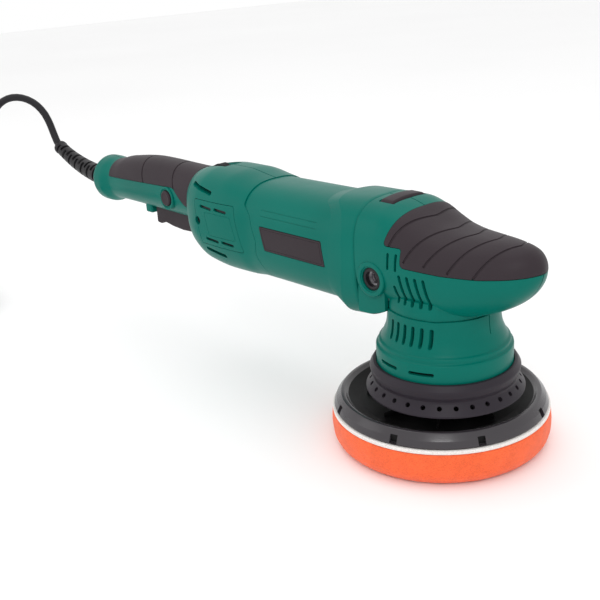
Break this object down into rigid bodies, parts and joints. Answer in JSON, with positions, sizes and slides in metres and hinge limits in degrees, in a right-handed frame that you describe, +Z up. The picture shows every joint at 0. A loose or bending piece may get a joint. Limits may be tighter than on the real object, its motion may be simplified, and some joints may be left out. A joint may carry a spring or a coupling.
{
  "type": "dual action polisher",
  "caption": "Corded random orbit polisher with a foam pad on a round backing plate, an eccentric drive under a geared head, an in-line motor body, and a rear handle with paddle trigger.",
  "frame": {"origin": "the drive axis where it meets the pad's working face", "axes": "+X from the rear handle towards the nose, along the motor; +Z up along the drive axis; +Y to the operator's left when looking from the rear handle towards the nose"},
  "size_m": [0.7346, 0.3046, 0.2158],
  "materials": {
    "green_plastic": "satin",
    "grip_rubber": "matte",
    "shroud_rubber": "satin",
    "plate_plastic": "satin",
    "black_plastic": "satin",
    "orange_foam": "matte",
    "loop_fabric": "matte",
    "steel": "satin",
    "counterweight_metal": "matte",
    "cast_aluminium": "satin",
    "copper": "satin",
    "gear_brass": "satin",
    "carbon": "matte",
    "cord_rubber": "matte"
  },
  "bodies": {
    "housing": {"output_bearing_lower": "steel", "output_bearing_upper": "steel", "gear_case": "cast_aluminium", "front_bearing": "steel", "rear_bearing": "steel", "stator_core": "steel", "field_coil_upper": "copper", "field_coil_lower": "copper", "rear_bearing_bracket": "black_plastic", "brush_holder_left": "gear_brass", "carbon_brush_left": "carbon", "brush_holder_right": "gear_brass", "carbon_brush_right": "carbon", "shroud": "shroud_rubber", "neck_housing": "green_plastic", "nose_grip": "grip_rubber", "head_shell_left": "green_plastic", "handle_insert_left": "steel", "head_shell_right": "green_plastic", "handle_insert_right": "steel", "top_bumper": "grip_rubber", "motor_housing": "green_plastic", "name_plate": "black_plastic", "rear_grip": "grip_rubber", "rear_shell_left": "green_plastic", "brush_cover_left": "green_plastic", "cover_screw_left": "steel", "rear_shell_right": "green_plastic", "brush_cover_right": "green_plastic", "cover_screw_right": "steel", "trigger_pin": "steel", "switch_body": "black_plastic", "speed_control": "black_plastic", "cord_boot": "cord_rubber", "cord_lead": "cord_rubber", "cord_coil": "cord_rubber", "cord_tie": "cord_rubber", "cord_end": "cord_rubber", "plug": "cord_rubber"},
    "rotor": {"motor_shaft": "steel", "armature_core": "steel", "armature_winding_front": "copper", "armature_winding_rear": "copper", "commutator": "copper", "motor_fan": "black_plastic", "bevel_pinion": "steel"},
    "output_drive": {"output_shaft": "steel", "crown_gear": "gear_brass", "eccentric_hub": "steel", "counterweight": "counterweight_metal", "pad_bearing_lower": "steel", "pad_bearing_upper": "steel"},
    "pad": {"pad_spindle": "steel", "plate_screw": "steel", "backing_plate": "plate_plastic", "pad_loop_layer": "loop_fabric", "polishing_pad": "orange_foam"},
    "trigger": {"trigger": "black_plastic"},
    "lock_button": {"lock_button": "black_plastic"},
    "speed_dial": {"speed_dial": "black_plastic"}
  },
  "joints": [
    {"name": "rotor_spin", "type": "hinge", "parent": "housing", "child": "rotor", "pos_m": [-0.1225, 0, 0.132], "axis": [1, 0, 0], "continuous": true},
    {"name": "output_spin", "type": "hinge", "parent": "housing", "child": "output_drive", "pos_m": [0, 0, 0.09], "axis": [0, 0, 1], "continuous": true},
    {"name": "pad_spin", "type": "hinge", "parent": "output_drive", "child": "pad", "pos_m": [-0.00927, 0.00514, 0.03], "axis": [0, 0, 1], "continuous": true},
    {"name": "trigger_pull", "type": "hinge", "parent": "housing", "child": "trigger", "pos_m": [-0.266, 0, 0.125], "axis": [0, 1, 0], "range_deg": [0, 4.5], "stiffness_Nm_per_rad": 1, "springref_deg": -4.58},
    {"name": "lock_press", "type": "slide", "parent": "housing", "child": "lock_button", "axis": [0, 1, 0], "range_m": [0, 0.003], "stiffness_N_per_m": 600, "springref_m": -0.001},
    {"name": "dial_turn", "type": "hinge", "parent": "housing", "child": "speed_dial", "pos_m": [-0.237, 0, 0.1625], "axis": [0, 1, 0], "range_deg": [0, 280]}
  ],
  "couplings": [
    {"joint": "output_spin", "follows": "rotor_spin", "ratio": -0.33333}
  ]
}
